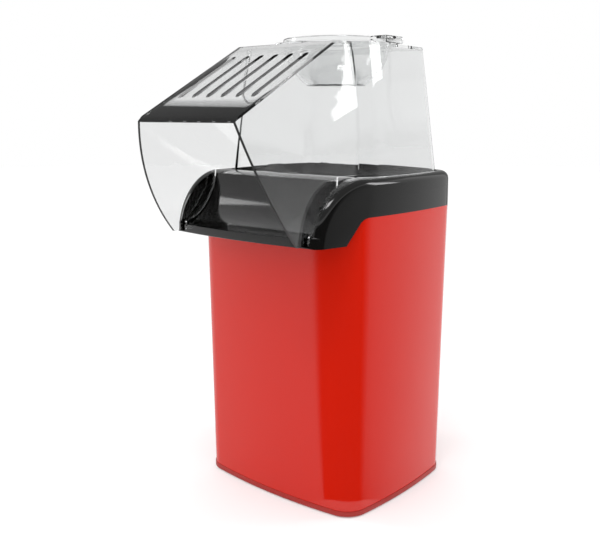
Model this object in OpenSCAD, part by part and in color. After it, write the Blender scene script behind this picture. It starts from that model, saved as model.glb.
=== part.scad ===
// Hot-air popcorn maker: a red crowned body with a gloss black collar and chute, a clear lid with a
// pouring hood, and a measuring cup that hangs in the lid. Inside are a fan motor, a heater and an
// aluminium popping chamber. +Z is up, the chute faces -Y, and the origin is on the table under the
// chamber's axis.

/* [Body] */
// Width across the middle of the sides, at the shoulder
body_w = 139.4; // [128:0.2:168]
// Depth across the middle of the front and back, at the shoulder
body_d = 122.8; // [118:0.2:148]
// Height of the shoulder, where the body steps out under the collar
shoulder_z = 173; // [165:0.5:208]
// Height of the seam between body and collar at the sides
seam_rise = 17; // [14:0.5:24]
// Wall of the body shell
body_wall = 2.5; // [1.8:0.1:3.2]
// How much each side leans in from the shoulder to the foot
body_draft = 1.3; // [0.4:0.1:2]
// How far the upper band stands out past the body
band_step = 1.8; // [1:0.1:2.4]
// Radius of the body's upright corners
corner_r = 18; // [14:0.5:24]
// Radius of the gentle curve of each side
crown_r = 370; // [300:5:900]

/* [Collar and chute] */
// Height of the collar above the side seam
collar_h = 23.3; // [21:0.1:30]
// How far the chute's lip stands out from the body's front
chute_reach = 27.6; // [22:0.2:34]
// Radius of the quarter-round side of the chute
arch_r = 40.3; // [36:0.1:46]
// Radius of the hollow scoop
scoop_r = 34.5; // [30:0.1:36]
// Width of the scoop between its side walls
chute_w = 114; // [104:0.5:116]
// Wall of the collar
collar_wall = 2.4; // [1.8:0.1:3]
// How far the chute's lip rises above the lowest point of the scoop
lip_rise = 1.5; // [0.5:0.1:3]

/* [Lid] */
// Height of the lid's top above the collar's rim
dome_h = 82.7; // [70:0.1:100]
// Wall of the clear lid
lid_wall = 2; // [1.6:0.1:2.6]
// Width of the hood along its sloping top
hood_w = 82; // [70:0.5:90]
// How far the hood's front edge stands out past the chute's lip
hood_reach = 39.4; // [30:0.2:48]
// Drop from the lid's top to the hood's front edge
hood_drop = 46.7; // [38:0.2:52]
// Number of steam slots in the hood
slot_count = 6; // [3:1:6]
// Length of each steam slot
slot_len = 58; // [30:1:66]
// Width of each steam slot
slot_w = 3.8; // [2.5:0.1:5]

/* [Measuring cup] */
// Radius of the cup at its mouth
cup_r = 36.5; // [30:0.5:37.5]
// Depth of the cup below the lid's top, as far as its round bowl allows
cup_depth = 26; // [18:0.5:34]
// Wall of the cup
cup_wall = 1.8; // [1.4:0.1:2.4]
// How far the cup's finger tabs reach from its centre
tab_reach = 48.5; // [44:0.5:52]
// Width of each finger tab
tab_w = 20; // [14:0.5:26]

/* [Popping chamber] */
// Inner radius of the chamber
chamber_r = 45; // [37:0.5:45.5]
// Depth of the chamber
chamber_depth = 92; // [80:1:96]
// Thickness of the chamber's sheet
chamber_wall = 0.8; // [0.6:0.1:1.2]
// Number of air louvres round the chamber
louvre_count = 24; // [12:2:30]

/* [Fan and motor] */
// Radius of the motor's can
motor_r = 14; // [11:0.5:18]
// Length of the motor's can
motor_len = 38; // [30:1:40]
// Radius of the motor's shaft
shaft_r = 1.15; // [1:0.05:2]
// Radius of the impeller
fan_r = 43; // [36:0.5:44]
// Number of blades on the impeller
blade_count = 9; // [5:1:13]

/* [Back wall] */
// Bore of the cord gland
gland_r = 3.6; // [3:0.1:4.5]
// Height of the cord gland
gland_z = 20; // [16:0.5:22]
// Height of the rocker switch
switch_z = 44; // [40:0.5:46]

/* [Hidden] */
$fn = 96;

eps = 0.01;               // sliver that keeps cutters proud of a face
slip = 0.25;              // clearance of one moulding in another
seat_gap = 0.1;           // clearance under the lid and the cup where they rest
run_gap = 0.05;           // radial clearance of the shaft in its bushes
far = 160;                // well outside the machine, for the ends of cutters

half_w = body_w / 2;
half_d = body_d / 2;
foot_z = 4;               // lower edge of the body shell
base_gap = 0.8;           // the base cover's rim stands this far off the table
base_inset = 0.8;         // the base cover is this much smaller than the shell
base_plate = 2;
base_top = foot_z + base_plate;
tongue_h = 6;             // height of the tongue that locates one moulding in the next
tongue_t = 1.6;
rim_t = 3;

seam_z = shoulder_z + seam_rise;
seam_front_z = shoulder_z + 1.5;
rim_z = seam_z + collar_h;
deck_t = 2.5;
deck_top = rim_z - 7;
deck_z = deck_top - deck_t;
rim_in = 7.8;             // width of the collar's rolled rim
front_y = -(half_d + chute_reach);
front_r = 400;            // curve of the chute's lip
lip_corner_r = 10;
arch_c = [-half_d + 17.4, rim_z - arch_r];
scoop_c = [front_y - 0.5, rim_z + 1];
scoop_floor = scoop_c[1] - scoop_r;
scoop_back = scoop_c[0] + scoop_r;
lip_depth = 25;           // how far back the lip's block runs
lip_notch_w = 5.5;        // notch for the foot of each of the hood's sides
lip_notch_depth = 8;

lid_top = rim_z + dome_h;
lid_in = rim_in + 0.5;    // the lid's foot is this far inside the collar's outer face
lid_lean = 2.8;           // how much each side of the lid leans in over its height
lid_edge_r = 8;
dome_front = -half_d + 10.4;  // front of the dome's own outline, before it is set in
dome_front_r = 26;
hood_top_y = -half_d + 18.1;  // where the lid's top starts to slope
hood_front = front_y - hood_reach;
hood_slope = hood_drop / (hood_top_y - hood_front);
hood_lean = 0.28;         // how fast the hood's sides lean out at its sloping top
hood_steepen = 0.0015;    // and how fast they turn upright below it
hood_upright = hood_lean / (2 * hood_steepen);
hood_edge_c = [front_y + 120.6, lid_top - 12.4];
hood_edge_r = 164.6;
hood_foot_z = seam_front_z + 1.5;
hood_foot_y = front_y + 6.5;
hood_back_y = -30;        // the hood's solid runs back to here, inside the dome
slot_margin = 10;         // from the hood's edge to the first steam slot's middle
slot_shift = 5;           // how far the slots sit behind the middle of the slope

cup_y = 10;
cup_hole_r = cup_r + 0.7;
cup_boss_r = cup_hole_r + 2;
cup_boss_h = 1.2;         // height of the raised ring round the lid's hole
cup_rim_h = 4.6;          // height of the cup's rim above its flange's underside
cup_flange_t = 1.6;
cup_centre_z = lid_top + 4.5;
cup_floor_z = cup_centre_z - min(cup_centre_z - lid_top + cup_depth, 0.85 * cup_r);

chamber_top = deck_z;
chamber_floor = chamber_top - chamber_depth;
flange_r = chamber_r + 7;

foot_at = [46, 43];
boss_at = [57, 22];
boss_r = 4;
boss_h = 16;
web_t = 2;
screw_r = 1.4;
screw_slip = 0.3;         // clearance of a screw in the part it holds
head_r = 3;
head_h = 1.8;
post_at = [[55, 36], [55, -30]];
post_r = 4;
lug_z = seam_z - 22;
lug_t = 3;
chamber_screw_r = chamber_r + 3.8;
cone_r = 22;              // foot of the cone in the chamber's floor
cone_h = 9;
louvre_w = 1.6;
louvre_h = 14;
louvre_lean = 28;
seal_h = 6;
shield_t = 0.5;

pillar_at = [40, 36];
pillar_r = 4.2;
foot_r = 7.2;
foot_pin_r = 1.95;
intake_pitch = 7;
intake_len = 44;
intake_w = 3.6;
motor_top = 57;
housing_z = motor_top;
housing_plate = 2.5;
housing_r = 50;
housing_wall = 2;
housing_flange_z = 80;
housing_flange_t = 2;
duct_z = housing_flange_z + housing_flange_t;
duct_r = 50;
duct_wall = 1.2;
shield_r = duct_r + 5.3;
duct_top = duct_z + 68;
inlet_r = 36;             // outer radius of the housing's air inlet
spoke_w = 6;
mica_t = 1;
mica_h = 18;
mica_half = housing_r - housing_wall - 0.6;
coil_r = 38;
coil_wire_r = 1.3;
coil_rows = 4;
coil_pitch = 4;
coil_first = duct_z + 3.5;
boss_motor_r = 5;
boss_motor_h = 2;
motor_screw_at = 9;
bush_r = 3;
magnet_t = 3;
motor_bottom = motor_top - motor_len;
can_t = 1;
bell_t = 2.5;
shaft_bottom = motor_bottom - bell_t - 1;
fan_z = housing_z + housing_plate + 2.5;
fan_h = 12;
hub_r = 7;
blade_t = 1.4;
board_z = motor_bottom - bell_t - 5;
board_r = 15;

back_flat_y = half_d - body_draft - 0.6;   // the flat on the back wall where the switch and gland sit
back_in_y = half_d - body_draft - body_wall;
gland_neck_r = gland_r + 1.6;
gland_flange_r = gland_neck_r + 2.4;
switch_w = 12.8;
switch_h = 19;
bezel_w = 15;
bezel_h = 21;
bezel_t = 1.8;
switch_depth = 15;
rocker_w = 8.6;
rocker_h = 14.4;
rocker_r = 9.6;
rocker_pin_r = 1;
rocker_tilt = 9;
rocker_back = 2.5;        // the rocker's pin lies this far behind the flat
vent_x = 40;              // middle of each stack of air vents
vent_rows = 8;
vent_first = 20;
vent_pitch = 5.5;
vent_len = 20;
vent_h = 2.4;

// ---------- outlines ----------

// Points on an arc, leaving out its first point when it follows another arc.
function arc(c, r, a0, a1, n, first = 0) =
    [for (i = [first:n]) let (a = a0 + (a1 - a0) * i / n) c + r * [cos(a), sin(a)]];

// Where two circles cross, on the side given.
function meet(a, ra, b, rb, side) =
    let (d = norm(b - a),
         along = (ra * ra - rb * rb + d * d) / (2 * d),
         off = sqrt(max(0, ra * ra - along * along)),
         u = (b - a) / d)
    a + u * along + side * off * [-u[1], u[0]];

function angle_to(a, p) = atan2(p[1] - a[1], p[0] - a[0]);

// A rounded rectangle whose four sides are gentle arcs. hw is half its width, yf and yb are its
// front and back at the middle, and inset moves the whole outline inwards.
function outline(hw, yf, yb, rf, rb, inset = 0, curve = crown_r) =
    let (side_r = crown_r - inset,
         side_c = [hw - crown_r, 0],
         front_c = [0, yf + curve],
         back_c = [0, yb - crown_r],
         cf = meet(side_c, crown_r - rf, front_c, curve - rf, -1),
         cb = meet(side_c, crown_r - rb, back_c, crown_r - rb, 1),
         af = angle_to(side_c, cf), bf = angle_to(front_c, cf),
         ab = angle_to(side_c, cb), bb = angle_to(back_c, cb),
         half = concat(arc(front_c, curve - inset, -90, bf, 5),
                       arc(cf, rf - inset, bf, af, 9, 1),
                       arc(side_c, side_r, af, ab, 10, 1),
                       arc(cb, rb - inset, ab, bb, 9, 1),
                       arc(back_c, crown_r - inset, bb, 90, 5, 1)))
    concat(half, [for (i = [len(half) - 2:-1:1]) [-half[i][0], half[i][1]]]);

function body_line(inset) = outline(half_w, -half_d, half_d, corner_r, corner_r, inset);
function band_line(inset) = body_line(inset - band_step);
function collar_line(inset) =
    outline(half_w + band_step, front_y, half_d + band_step, lip_corner_r, corner_r + band_step,
            inset, front_r);
function dome_line(inset) =
    outline(half_w + band_step, dome_front, half_d + band_step, dome_front_r, corner_r + band_step,
            inset);

module slab(points, z0, z1) {
    translate([0, 0, z0]) linear_extrude(z1 - z0) polygon(points);
}

module ring_slab(outer, inner, z0, z1) {
    difference() {
        slab(outer, z0, z1);
        slab(inner, z0 - 1, z1 + 1);
    }
}

// A prism across the machine from points given as [y, z].
module across(points, half = far) {
    translate([-half, 0, 0]) rotate([90, 0, 90]) linear_extrude(2 * half) polygon(points);
}

module tube(r_out, r_in, z0, z1) {
    translate([0, 0, z0]) difference() {
        cylinder(r = r_out, h = z1 - z0);
        translate([0, 0, -1]) cylinder(r = r_in, h = z1 - z0 + 2);
    }
}

// A solid through rings of equal length, each given as [outline, height], from the lowest up.
module loft(rings) {
    n = len(rings[0][0]);
    m = len(rings);
    points = [for (r = rings) for (p = r[0]) [p[0], p[1], r[1]]];
    sides = [for (j = [0:m - 2]) for (i = [0:n - 1]) let (k = (i + 1) % n)
                each [[j * n + i, (j + 1) * n + k, j * n + k],
                      [j * n + i, (j + 1) * n + i, (j + 1) * n + k]]];
    polyhedron(points, concat(sides, [[for (i = [0:n - 1]) i]], [[for (i = [n - 1:-1:0]) (m - 1) * n + i]]));
}

module four(p) {
    for (x = [-1, 1]) for (y = [-1, 1]) translate([x * p[0], y * p[1], 0]) children();
}

module at_posts() {
    for (p = post_at) for (a = [0, 1]) mirror([a, 0, 0]) translate([p[0], p[1], 0]) children();
}

module around(n) {
    for (i = [0:n - 1]) rotate(i * 360 / n) children();
}

module pan_screw(z, length, r = screw_r, cap_r = head_r) {
    translate([0, 0, z]) cylinder(r = r, h = length, $fn = 32);
    translate([0, 0, z - head_h]) difference() {
        cylinder(r = cap_r, h = head_h, $fn = 32);
        for (a = [0, 90]) rotate(a) translate([-cap_r * 0.6, -0.4, -1]) cube([cap_r * 1.2, 0.8, 1.9]);
    }
}

// ---------- body ----------

// The line where the collar meets the body, seen from the side.
seam_line = [[-far, seam_front_z], [-half_d - 1.1, seam_front_z], [-half_d + 10.2, seam_z - 2.6],
             [-half_d + 12.6, seam_z - 0.9], [-half_d + 16, seam_z], [far, seam_z]];

module above_seam() {
    across(concat(seam_line, [[far, 2 * far], [-far, 2 * far]]));
}

module body_solid(inset, z0, z1) {
    loft([[body_line(body_draft + inset), z0], [body_line(inset), shoulder_z],
          [band_line(inset), shoulder_z + 2.5], [band_line(inset), z1]]);
}

module back_vents() {
    for (x = [-1, 1]) for (i = [0:vent_rows - 1])
        translate([x * vent_x, half_d, vent_first + i * vent_pitch]) rotate([90, 0, 0])
            linear_extrude(12, center = true) slot_shape(vent_len, vent_h);
}

// A flat slot with round ends
module slot_shape(length, width) {
    square([length - width, width], center = true);
    for (x = [-1, 1]) translate([x * (length - width) / 2, 0]) circle(d = width, $fn = 24);
}

module body_shell() {
    color([0.80, 0.10, 0.06]) {
        difference() {
            body_solid(0, foot_z, seam_z + 1);
            body_solid(body_wall, foot_z - eps, seam_z + 2);
            above_seam();
            back_vents();
            // Flats and holes for the switch and the gland
            translate([-bezel_w / 2 - 1, back_flat_y, switch_z - bezel_h / 2 - 1])
                cube([bezel_w + 2, 5, bezel_h + 2]);
            translate([-switch_w / 2 - 0.1, half_d - 12, switch_z - switch_h / 2 - 0.1])
                cube([switch_w + 0.2, 20, switch_h + 0.2]);
            translate([0, back_flat_y, gland_z]) rotate([-90, 0, 0]) cylinder(r = gland_flange_r + 1, h = 5);
            translate([0, half_d - 12, gland_z]) rotate([-90, 0, 0]) cylinder(r = gland_neck_r, h = 20);
        }
        // Screw bosses, each tied to the side wall by a web
        four(boss_at) difference() {
            translate([0, 0, base_top]) cylinder(r = boss_r, h = boss_h);
            translate([0, 0, base_top - 1]) cylinder(r = screw_r, h = boss_h - 1);
        }
        for (a = [0, 1]) for (y = [-1, 1])
            mirror([a, 0, 0]) translate([web_start(), y * boss_at[1] - web_t / 2, base_top])
                cube([boss_wall_x() - web_start(), web_t, boss_h]);
        at_posts() lug();
    }
}

function web_start() = boss_at[0] + boss_r - 0.6;

// Where the shell's side wall lies beside the screw bosses, a little inside its thickness
function boss_wall_x() = half_w - body_draft - body_wall - pow(boss_at[1], 2) / (2 * crown_r) + 1;

// A shelf that takes a collar screw, joined to the side wall by its own width
module lug() {
    difference() {
        union() {
            translate([0, 0, lug_z]) cylinder(r = post_r + 1, h = lug_t);
            translate([0, -post_r - 1, lug_z])
                cube([half_w - post_at[0][0] - body_wall + 0.4, 2 * post_r + 2, lug_t]);
        }
        translate([0, 0, lug_z - 1]) cylinder(r = screw_r + screw_slip, h = lug_t + 2);
    }
}

module base_cover() {
    color([0.78, 0.09, 0.05]) difference() {
        union() {
            slab(body_line(body_draft + base_inset), base_gap, foot_z);
            ring_slab(body_line(body_draft + body_wall + slip),
                      body_line(body_draft + body_wall + slip + tongue_t), foot_z, foot_z + tongue_h);
            slab(body_line(body_draft + body_wall + slip + tongue_t / 2), foot_z, base_top);
            four(pillar_at) translate([0, 0, base_top - eps])
                cylinder(r = pillar_r, h = housing_z - base_top + eps);
        }
        slab(body_line(body_draft + base_inset + rim_t), -1, foot_z);
        four(pillar_at) translate([0, 0, housing_z - 14]) cylinder(r = screw_r, h = 15);
        four(foot_at) cylinder(r = foot_pin_r + 0.05, h = 12);
        four(boss_at) cylinder(r = screw_r + screw_slip, h = 30);
        // The tongue is cut away round the body's bosses
        four(boss_at) translate([0, 0, base_top]) cylinder(r = boss_r + 0.5, h = 20);
        four([boss_at[0] + 8, boss_at[1]]) translate([0, 0, base_top + 10])
            cube([16, 2 * web_t, 20], center = true);
        // Air intake under the fan
        for (i = [-4:4]) translate([i * intake_pitch, 0, 0]) linear_extrude(30) rotate(90)
            slot_shape(intake_len - abs(i) * 2, intake_w);
    }
}

module rubber_feet() {
    color([0.08, 0.08, 0.08]) four(foot_at) {
        cylinder(r1 = foot_r - 0.8, r2 = foot_r, h = foot_z);
        translate([0, 0, foot_z - eps]) cylinder(r = foot_pin_r, h = base_plate + 1);
        translate([0, 0, base_top]) cylinder(r1 = 3, r2 = 2, h = 2);
    }
}

module base_screws() {
    color([0.7, 0.7, 0.72]) four(boss_at) pan_screw(foot_z, 13.5);
}

// ---------- collar and chute ----------

// The collar's outer shape, seen from the side.
function collar_side() =
    concat([[far, seam_z - 30], [far, rim_z]],
           arc(arch_c, arch_r, 90, 180, 20),
           [[arch_c[0] - arch_r, seam_z - 30]]);

// The lip, which stands forward of the arch between the side walls.
module lip_block() {
    intersection() {
        slab(collar_line(0), seam_front_z, scoop_floor + lip_rise);
        translate([-chute_w / 2 - 4, front_y - 5, 0]) cube([chute_w + 8, lip_depth + 5, 2 * far]);
    }
}

module collar_outer() {
    intersection() {
        slab(collar_line(0), seam_front_z, rim_z);
        across(collar_side());
        above_seam();
    }
    lip_block();
}

// The open space of the chute, above the quarter-round scoop, grown by t.
module scoop_space(t = 0) {
    across(concat(arc(scoop_c, scoop_r + t, 0, -90, 20),
                  [[front_y - 20, scoop_floor - t], [front_y - 20, rim_z + 20],
                   [scoop_back + t, rim_z + 20]]),
           chute_w / 2 + t);
}

// Everything under the deck, behind the scoop's own wall.
module collar_hollow() {
    difference() {
        intersection() {
            slab(collar_line(collar_wall), seam_front_z - 1, deck_z);
            across(concat([[far, seam_z - 30], [far, rim_z], [arch_c[0], rim_z]],
                          arc(arch_c, arch_r - collar_wall, 90, 180, 20),
                          [[arch_c[0] - arch_r + collar_wall, seam_z - 30]]));
        }
        // The scoop's plate and the floor under the overhang stay
        scoop_space(collar_wall);
        across([[-half_d - band_step - 0.3, seam_front_z - 2],
                [-half_d - band_step - 0.3, seam_front_z + collar_wall],
                [front_y - 5, seam_front_z + collar_wall],
                [front_y - 5, seam_front_z - 2]]);
    }
}

module collar() {
    color([0.02, 0.02, 0.02]) difference() {
        union() {
            difference() {
                collar_outer();
                collar_hollow();
                scoop_space();
            }
            collar_tongue();
            at_posts() translate([0, 0, lug_z + lug_t])
                cylinder(r = post_r, h = deck_z - lug_z - lug_t + 1);
        }
        // Well that takes the lid's dome
        slab(dome_line(rim_in), deck_top, rim_z + 1);
        translate([0, 0, deck_z - 1]) cylinder(r = chamber_r, h = 20);
        at_posts() translate([0, 0, lug_z]) cylinder(r = screw_r, h = 14);
        // Notches in the lip for the feet of the hood's sides
        for (x = [-1, 1]) translate([x * lip_notch_x() - lip_notch_w / 2, front_y - 5, hood_foot_z - 0.6])
            cube([lip_notch_w, lip_notch_depth + 5, 30]);
        around(4) translate([chamber_screw_r * cos(45), chamber_screw_r * sin(45), deck_z - 1])
            cylinder(r = 1, h = 2.6, $fn = 32);
    }
}

function lip_notch_x() = hood_x(hood_top(front_y) - hood_foot_z) - lid_wall / 2;

// The tongue that drops inside the body's upper band, joined to the collar's wall above the seam
module collar_tongue() {
    intersection() {
        union() {
            ring_slab(band_line(body_wall + slip), band_line(body_wall + slip + tongue_t),
                      seam_z - tongue_h, seam_z + 3);
            ring_slab(band_line(1), band_line(body_wall + slip + tongue_t / 2), seam_z + 1, seam_z + 3);
        }
        translate([-far, -half_d + 17, 0]) cube(2 * far);
    }
}

module collar_screws() {
    color([0.7, 0.7, 0.72]) at_posts() pan_screw(lug_z, 12);
}

// ---------- lid ----------

function hood_top(y) = lid_top + hood_slope * (y - hood_top_y);

// Half the hood's width at a drop below its sloping top
function hood_x(drop) =
    let (d = min(drop, hood_upright))
    hood_w / 2 + hood_lean * d - hood_steepen * d * d;

// The space between the hood's two curved flanks, set in by t. It is one outline swept down the
// slope, and its top and ends are left beyond the hood, so the profile that clips it sets them.
module hood_wedge(t) {
    drops = concat([-20], [for (i = [0:8]) i / 8 * hood_upright], [hood_upright + 60]);
    side = [for (d = drops) [hood_x(d) - t, d]];
    line = concat(side, [for (i = [len(side) - 1:-1:0]) [-side[i][0], side[i][1]]]);
    n = len(line);
    points = [for (y = [hood_back_y + 10, -far]) for (p = line) [p[0], y, hood_top(y) - p[1]]];
    sides = [for (i = [0:n - 1]) let (k = (i + 1) % n) [i, k, n + k, n + i]];
    polyhedron(points, concat(sides, [[for (i = [n - 1:-1:0]) i], [for (i = [n:2 * n - 1]) i]]));
}

// The space inside the hood, under its sloping top
module hood_space() {
    drop = lid_wall * sqrt(1 + hood_slope * hood_slope);
    knee = hood_top_y + (drop - lid_wall) / hood_slope;
    intersection() {
        hood_wedge(lid_wall);
        across([[hood_back_y + 2, rim_z / 2], [hood_back_y + 2, lid_top - lid_wall],
                [knee, lid_top - lid_wall], [-far, hood_top(-far) - drop], [-far, rim_z / 2]]);
    }
}

// The hood's side panel, seen from the side.
function hood_side() =
    let (a0 = 180 + asin((hood_edge_c[1] - lid_top + hood_drop) / hood_edge_r) + 0.7,
         a1 = 180 + asin((hood_edge_c[1] - hood_foot_z) / hood_edge_r),
         front = arc(hood_edge_c, hood_edge_r, a0, a1, 14))
    concat([[hood_back_y, lid_top], [hood_top_y, lid_top], [hood_front + 2, hood_top(hood_front + 2)]],
           front,
           [[hood_foot_y, hood_foot_z], [hood_foot_y, scoop_floor + 1.2]],
           arc(scoop_c, scoop_r - 0.8, -78, 0, 12),
           [[hood_back_y, scoop_c[1]]]);

module dome_solid(t) {
    low = t > 0 ? 1 : 0;
    loft(concat([[dome_line(lid_in + t), deck_top + seat_gap - low]],
                [for (a = [0:18:90])
                    [dome_line(lid_in + lid_lean + t + (lid_edge_r - t) * (1 - cos(a))),
                     lid_top - lid_edge_r + (lid_edge_r - t) * sin(a)]]));
}

module steam_slots() {
    pitch = (hood_w - 2 * slot_margin) / 5;
    mid_y = (hood_top_y + hood_front) / 2 + slot_shift;
    for (i = [0:slot_count - 1]) {
        x = (i - (slot_count - 1) / 2) * pitch;
        hull() for (s = [-1, 1]) translate([x, mid_y + s * slot_run(), hood_top(mid_y + s * slot_run())])
            rotate([atan(hood_slope), 0, 0]) cylinder(d = slot_w, h = 12, center = true, $fn = 20);
    }
}

function slot_run() = (slot_len - slot_w) / 2 * cos(atan(hood_slope));

module lid() {
    color([0.85, 0.88, 0.90, 0.35]) difference() {
        union() {
            dome_solid(0);
            intersection() {
                hood_wedge(0);
                across(hood_side());
            }
            translate([0, cup_y, lid_top - 3]) cylinder(r = cup_boss_r, h = 3 + cup_boss_h, $fn = 72);
        }
        dome_solid(lid_wall);
        hood_space();
        steam_slots();
        translate([0, cup_y, lid_top - 20]) cylinder(r = cup_hole_r, h = 40, $fn = 72);
    }
}

// ---------- measuring cup ----------

// The bowl is part of a ball centred at the height of its mouth, cut off flat below.
module measuring_cup() {
    rim_z0 = lid_top + cup_boss_h + seat_gap;
    inner_r = cup_r - cup_wall;
    outer_a = asin((cup_floor_z - cup_centre_z) / cup_r);
    inner_a = asin((cup_floor_z + cup_wall - cup_centre_z) / inner_r);
    mouth_a = asin((rim_z0 - cup_centre_z) / cup_r);
    bowl = concat([[0, cup_floor_z]], arc([0, cup_centre_z], cup_r, outer_a, mouth_a, 12),
                  [[cup_boss_r, rim_z0], [cup_boss_r, rim_z0 + cup_flange_t], [cup_r, rim_z0 + cup_flange_t],
                   [cup_r, rim_z0 + cup_rim_h], [inner_r, rim_z0 + cup_rim_h]],
                  arc([0, cup_centre_z], inner_r, 0, inner_a, 12), [[0, cup_floor_z + cup_wall]]);
    color([0.85, 0.88, 0.90, 0.35]) translate([0, cup_y, 0]) {
        rotate_extrude() polygon(bowl);
        for (a = [0, 180]) rotate(a) finger_tab(rim_z0);
    }
}

// A flat tab with a skirt round three sides, joined to the cup's rim
module finger_tab(z) {
    inside = sqrt(pow(cup_r - cup_wall / 2, 2) - pow(tab_w / 2, 2));
    difference() {
        translate([inside, -tab_w / 2, z]) cube([tab_reach - inside, tab_w, cup_rim_h]);
        translate([0, 0, z - 1]) cylinder(r = cup_r - cup_wall / 2, h = cup_rim_h + 2);
        translate([cup_boss_r, -tab_w / 2 + cup_wall, z - 1])
            cube([tab_reach - cup_boss_r - cup_wall, tab_w - 2 * cup_wall, cup_rim_h + 1 - cup_wall]);
    }
}

// ---------- popping chamber ----------

module popping_chamber() {
    color([0.75, 0.76, 0.78]) difference() {
        union() {
            tube(chamber_r + chamber_wall, chamber_r, chamber_floor, chamber_top - chamber_wall + eps);
            translate([0, 0, chamber_floor]) cylinder(r = chamber_r + eps, h = chamber_wall);
            translate([0, 0, chamber_floor + chamber_wall - eps]) cylinder(r1 = cone_r, r2 = 5, h = cone_h);
            tube(flange_r, chamber_r, chamber_top - chamber_wall, chamber_top);
        }
        around(louvre_count) translate([chamber_r, 0, chamber_floor + 12]) rotate([louvre_lean, 0, 0])
            cube([6, louvre_w, louvre_h], center = true);
        around(4) translate([chamber_screw_r * cos(45), chamber_screw_r * sin(45), chamber_top - 3])
            cylinder(r = 1.2, h = 6, $fn = 32);
    }
}

module chamber_screws() {
    color([0.7, 0.7, 0.72]) around(4)
        translate([chamber_screw_r * cos(45), chamber_screw_r * sin(45), 0])
            pan_screw(chamber_top - chamber_wall, 2.2, 1, 2.2);
}

module chamber_seal() {
    color([0.85, 0.82, 0.75])
        tube(duct_r - duct_wall - 0.05, chamber_r + chamber_wall + 0.05, duct_top - 2 - seal_h, duct_top - 2);
}

module heat_shield() {
    color([0.8, 0.8, 0.8]) tube(shield_r, shield_r - shield_t, duct_z, chamber_top - 8);
}

// ---------- heater ----------

module heater_duct() {
    color([0.72, 0.72, 0.74]) tube(duct_r, duct_r - duct_wall, duct_z, duct_top);
}

module mica_plate(slot_from_top) {
    difference() {
        translate([-mica_half, -mica_t / 2, duct_z]) cube([2 * mica_half, mica_t, mica_h]);
        translate([-mica_t / 2 - 0.1, -5, slot_from_top ? duct_z + mica_h / 2 - 0.1 : duct_z - 1])
            cube([mica_t + 0.2, 10, mica_h / 2 + 1.1]);
        for (s = [-1, 1]) for (i = [0:coil_rows - 1])
            translate([s * coil_r, -5, coil_first + i * coil_pitch]) rotate([-90, 0, 0])
                cylinder(r = coil_wire_r + 0.3, h = 10, $fn = 24);
    }
}

module mica_plate_long() {
    color([0.78, 0.72, 0.55]) mica_plate(true);
}

module mica_plate_cross() {
    color([0.78, 0.72, 0.55]) rotate(90) mica_plate(false);
}

module heating_coil() {
    color([0.45, 0.42, 0.40]) for (i = [0:coil_rows - 1])
        translate([0, 0, coil_first + i * coil_pitch]) rotate_extrude() translate([coil_r, 0])
            circle(r = coil_wire_r, $fn = 20);
}

module thermostat() {
    color([0.85, 0.83, 0.78]) translate([0, 0, chamber_floor - 7]) cylinder(r = 8, h = 7);
}

module thermal_fuse() {
    color([0.9, 0.9, 0.85]) translate([-18, 0, chamber_floor - 2]) rotate([90, 0, 0])
        cylinder(r = 2, h = 12, center = true, $fn = 32);
}

// ---------- fan and motor ----------

module fan_housing() {
    color([0.12, 0.12, 0.12]) difference() {
        union() {
            tube(housing_r, housing_r - housing_wall, housing_z, housing_flange_z + eps);
            translate([0, 0, housing_z]) cylinder(r = housing_r - 1, h = housing_plate);
            tube(shield_r + 0.7, housing_r - housing_wall - 2, housing_flange_z, duct_z);
            four(pillar_at) translate([0, 0, housing_z]) cylinder(r = pillar_r + 0.8, h = 4);
        }
        // Air inlet round the motor, left open between three spokes
        difference() {
            tube(inlet_r, motor_r + 3, housing_z - 1, housing_z + housing_plate + 1);
            around(3) translate([0, -spoke_w / 2, housing_z - 2]) cube([housing_r, spoke_w, 10]);
        }
        translate([0, 0, housing_z - 1]) cylinder(r = boss_motor_r + 0.1, h = 10);
        for (s = [-1, 1]) translate([s * motor_screw_at, 0, housing_z - 1])
            cylinder(r = 1.3, h = 10, $fn = 32);
        four(pillar_at) translate([0, 0, housing_z - 1]) cylinder(r = screw_r + screw_slip, h = 30);
        // Room inside the wall for the screw ears
        translate([0, 0, housing_z + housing_plate]) cylinder(r = housing_r - housing_wall - eps, h = 3);
    }
}

module housing_screws() {
    color([0.7, 0.7, 0.72]) four(pillar_at)
        translate([0, 0, housing_z + 4]) rotate([180, 0, 0]) pan_screw(0, 15);
}

module fan_impeller() {
    color([0.9, 0.9, 0.88]) difference() {
        union() {
            translate([0, 0, fan_z]) cylinder(r = hub_r, h = fan_h);
            translate([0, 0, fan_z]) cylinder(r = fan_r - 8, h = 1.2);
            around(blade_count) translate([hub_r - 1.5, 0, fan_z]) rotate(-18)
                translate([0, -blade_t / 2, 0]) cube([fan_r - hub_r, blade_t, fan_h]);
        }
        translate([0, 0, fan_z - 1]) cylinder(r = shaft_r, h = fan_h - 1);
    }
}

module motor_can() {
    color([0.72, 0.72, 0.74]) difference() {
        union() {
            translate([0, 0, motor_bottom]) cylinder(r = motor_r, h = motor_len);
            translate([0, 0, motor_top - eps]) cylinder(r = boss_motor_r, h = boss_motor_h);
        }
        translate([0, 0, motor_bottom - 1]) cylinder(r = motor_r - can_t, h = motor_len - 1);
        translate([0, 0, motor_top - 5]) cylinder(r = bush_r, h = 10);
        for (s = [-1, 1]) translate([s * motor_screw_at, 0, motor_top - 5])
            cylinder(r = 1, h = 10, $fn = 32);
    }
}

module motor_end_bell() {
    color([0.10, 0.10, 0.10]) difference() {
        translate([0, 0, motor_bottom - bell_t]) cylinder(r = motor_r, h = bell_t);
        translate([0, 0, motor_bottom - bell_t - 1]) cylinder(r = bush_r, h = 10);
    }
}

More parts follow.
